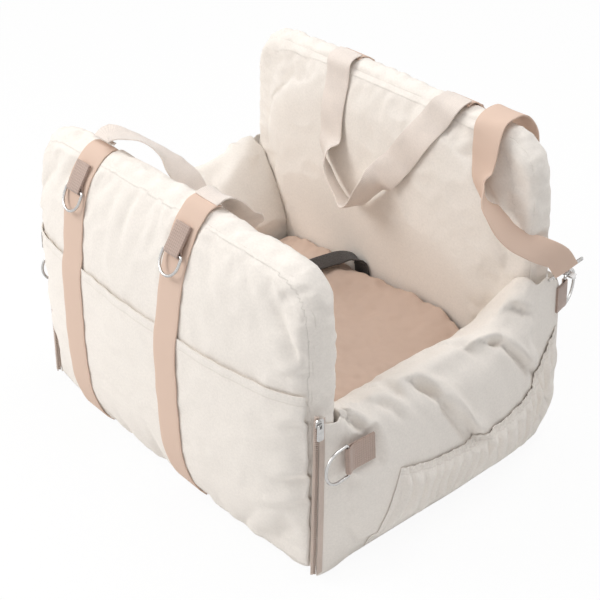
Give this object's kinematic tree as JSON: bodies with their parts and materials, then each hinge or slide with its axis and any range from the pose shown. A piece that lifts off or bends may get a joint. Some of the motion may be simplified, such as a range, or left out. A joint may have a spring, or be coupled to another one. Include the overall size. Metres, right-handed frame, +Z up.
{
  "type": "dog car seat",
  "caption": "Padded box-shaped pet seat with a tall backrest, folding front panel, carrying handles, side pockets and a clip-on shoulder strap.",
  "frame": {"origin": "middle of the base on its underside, where the non-slip sheet rests", "axes": "+X to the seat's right-hand side as seen from the front, +Y from the front panel to the backrest, +Z up"},
  "size_m": [0.5972, 0.474, 0.4096],
  "materials": {
    "canvas": "matte cotton canvas",
    "webbing": "satin woven webbing",
    "plush": "short plush",
    "tether_webbing": "coarse woven webbing",
    "silver_metal": "polished plated steel",
    "zip_tape": "woven zip tape with moulded teeth",
    "fibre_filling": "loose fibre",
    "foam": "open foam",
    "board": "plain board",
    "nonslip_cloth": "dotted non-slip cloth"
  },
  "bodies": {
    "seat": {"nonslip_sheet": "nonslip_cloth", "base_board": "board", "foam_block": "foam", "backrest_cover": "canvas", "backrest_filling": "fibre_filling", "cushion_cover": "plush", "cushion_filling": "fibre_filling", "side_panel_right": "canvas", "bolster_cover_right": "canvas", "bolster_filling_right": "fibre_filling", "side_pocket_right": "canvas", "zip_side_half_right": "zip_tape", "back_strap_right": "webbing", "back_ring_tab_right": "webbing", "side_ring_tab_right": "webbing", "rear_ring_tab_right": "webbing", "shoulder_loop_right": "silver_metal", "side_panel_left": "canvas", "bolster_cover_left": "canvas", "bolster_filling_left": "fibre_filling", "side_pocket_left": "canvas", "zip_side_half_left": "zip_tape", "back_strap_left": "webbing", "back_ring_tab_left": "webbing", "side_ring_tab_left": "webbing", "rear_ring_tab_left": "webbing", "shoulder_loop_left": "silver_metal", "shoulder_strap": "webbing", "tether_strap": "tether_webbing", "tether_loop": "silver_metal"},
    "front_panel": {"front_panel_cover": "canvas", "front_panel_filling": "fibre_filling", "front_pocket": "canvas", "front_strap_right": "webbing", "front_ring_tab_right": "webbing", "zip_panel_half_right": "zip_tape", "front_strap_left": "webbing", "front_ring_tab_left": "webbing", "zip_panel_half_left": "zip_tape"},
    "front_handle": {"front_handle": "webbing"},
    "back_handle": {"back_handle": "webbing"},
    "zip_slider_right": {"zip_slider_right": "silver_metal"},
    "zip_pull_right": {"zip_pull_right": "silver_metal"},
    "zip_slider_left": {"zip_slider_left": "silver_metal"},
    "zip_pull_left": {"zip_pull_left": "silver_metal"},
    "front_ring_left": {"front_ring_left": "silver_metal"},
    "front_ring_right": {"front_ring_right": "silver_metal"},
    "back_ring_left": {"back_ring_left": "silver_metal"},
    "back_ring_right": {"back_ring_right": "silver_metal"},
    "side_ring_right": {"side_ring_right": "silver_metal"},
    "side_ring_left": {"side_ring_left": "silver_metal"},
    "rear_ring_right": {"rear_ring_right": "silver_metal"},
    "rear_ring_left": {"rear_ring_left": "silver_metal"},
    "shoulder_right_hook": {"shoulder_right_hook": "silver_metal"},
    "shoulder_right_gate": {"shoulder_right_gate": "silver_metal"},
    "shoulder_left_hook": {"shoulder_left_hook": "silver_metal"},
    "shoulder_left_gate": {"shoulder_left_gate": "silver_metal"},
    "tether_hook": {"tether_hook": "silver_metal"},
    "tether_gate": {"tether_gate": "silver_metal"}
  },
  "joints": [
    {"name": "front_panel_fold", "type": "hinge", "parent": "seat", "child": "front_panel", "pos_m": [0, -0.207, 0.0019], "axis": [1, 0, 0], "range_deg": [0, 68]},
    {"name": "front_handle_lift", "type": "hinge", "parent": "front_panel", "child": "front_handle", "pos_m": [0, -0.157, 0.3791], "axis": [1, 0, 0], "range_deg": [0, 120]},
    {"name": "back_handle_lift", "type": "hinge", "parent": "seat", "child": "back_handle", "pos_m": [0, 0.169, 0.4091], "axis": [-1, 0, 0], "range_deg": [0, 150]},
    {"name": "zip_slide_right", "type": "slide", "parent": "seat", "child": "zip_slider_right", "axis": [0, -0.0817, -0.9967], "range_m": [0, 0.19]},
    {"name": "zip_pull_swing_right", "type": "hinge", "parent": "zip_slider_right", "child": "zip_pull_right", "pos_m": [0.2711, -0.18673, 0.212], "axis": [0, -0.9967, 0.0817], "range_deg": [0, 100]},
    {"name": "zip_slide_left", "type": "slide", "parent": "seat", "child": "zip_slider_left", "axis": [0, -0.0817, -0.9967], "range_m": [0, 0.19]},
    {"name": "zip_pull_swing_left", "type": "hinge", "parent": "zip_slider_left", "child": "zip_pull_left", "pos_m": [-0.2711, -0.18673, 0.212], "axis": [0, 0.9967, -0.0817], "range_deg": [0, 100]},
    {"name": "front_ring_left_swing", "type": "hinge", "parent": "front_panel", "child": "front_ring_left", "pos_m": [-0.14, -0.20442, 0.3327], "axis": [-1, 0, 0], "range_deg": [0, 110]},
    {"name": "front_ring_right_swing", "type": "hinge", "parent": "front_panel", "child": "front_ring_right", "pos_m": [0.058, -0.20585, 0.33327], "axis": [-1, 0, 0], "range_deg": [0, 110]},
    {"name": "back_ring_left_swing", "type": "hinge", "parent": "seat", "child": "back_ring_left", "pos_m": [-0.074, 0.20453, 0.35933], "axis": [1, 0, 0], "range_deg": [0, 110]},
    {"name": "back_ring_right_swing", "type": "hinge", "parent": "seat", "child": "back_ring_right", "pos_m": [0.113, 0.20406, 0.35923], "axis": [1, 0, 0], "range_deg": [0, 110]},
    {"name": "side_ring_right_swing", "type": "hinge", "parent": "seat", "child": "side_ring_right", "pos_m": [0.27898, -0.15864, 0.154], "axis": [0, 0, 1], "range_deg": [0, 140]},
    {"name": "side_ring_left_swing", "type": "hinge", "parent": "seat", "child": "side_ring_left", "pos_m": [-0.27898, -0.15864, 0.154], "axis": [0, 0, -1], "range_deg": [0, 140]},
    {"name": "rear_ring_right_swing", "type": "hinge", "parent": "seat", "child": "rear_ring_right", "pos_m": [0.25761, 0.19853, 0.194], "axis": [0, 0, -1], "range_deg": [-3, 8]},
    {"name": "rear_ring_left_swing", "type": "hinge", "parent": "seat", "child": "rear_ring_left", "pos_m": [-0.25761, 0.19853, 0.194], "axis": [0, 0, 1], "range_deg": [-4, 4]},
    {"name": "shoulder_right_swivel", "type": "hinge", "parent": "seat", "child": "shoulder_right_hook", "pos_m": [0.26924, 0.18531, 0.2345], "axis": [-0.4508, 0.6211, -0.6411], "range_deg": [-8, 8]},
    {"name": "shoulder_right_gate_press", "type": "hinge", "parent": "shoulder_right_hook", "child": "shoulder_right_gate", "pos_m": [0.25393, 0.19117, 0.22754], "axis": [0.0583, -0.6962, -0.7154], "range_deg": [0, 20], "stiffness_Nm_per_rad": 0.004, "springref_deg": -11.46},
    {"name": "shoulder_left_swivel", "type": "hinge", "parent": "seat", "child": "shoulder_left_hook", "pos_m": [-0.21337, 0.23005, 0.194], "axis": [-1, 0, 0], "range_deg": [-8, 8]},
    {"name": "shoulder_left_gate_press", "type": "hinge", "parent": "shoulder_left_hook", "child": "shoulder_left_gate", "pos_m": [-0.22837, 0.22045, 0.194], "axis": [0, 0, -1], "range_deg": [0, 20], "stiffness_Nm_per_rad": 0.004, "springref_deg": -11.46},
    {"name": "tether_swivel", "type": "hinge", "parent": "seat", "child": "tether_hook", "pos_m": [-0.07725, -0.04687, 0.13785], "axis": [-0.0499, -0.9988, 0], "range_deg": [-14, 14]},
    {"name": "tether_gate_press", "type": "hinge", "parent": "tether_hook", "child": "tether_gate", "pos_m": [-0.06841, -0.06233, 0.13785], "axis": [0, 0, -1], "range_deg": [0, 20], "stiffness_Nm_per_rad": 0.004, "springref_deg": -11.46}
  ]
}
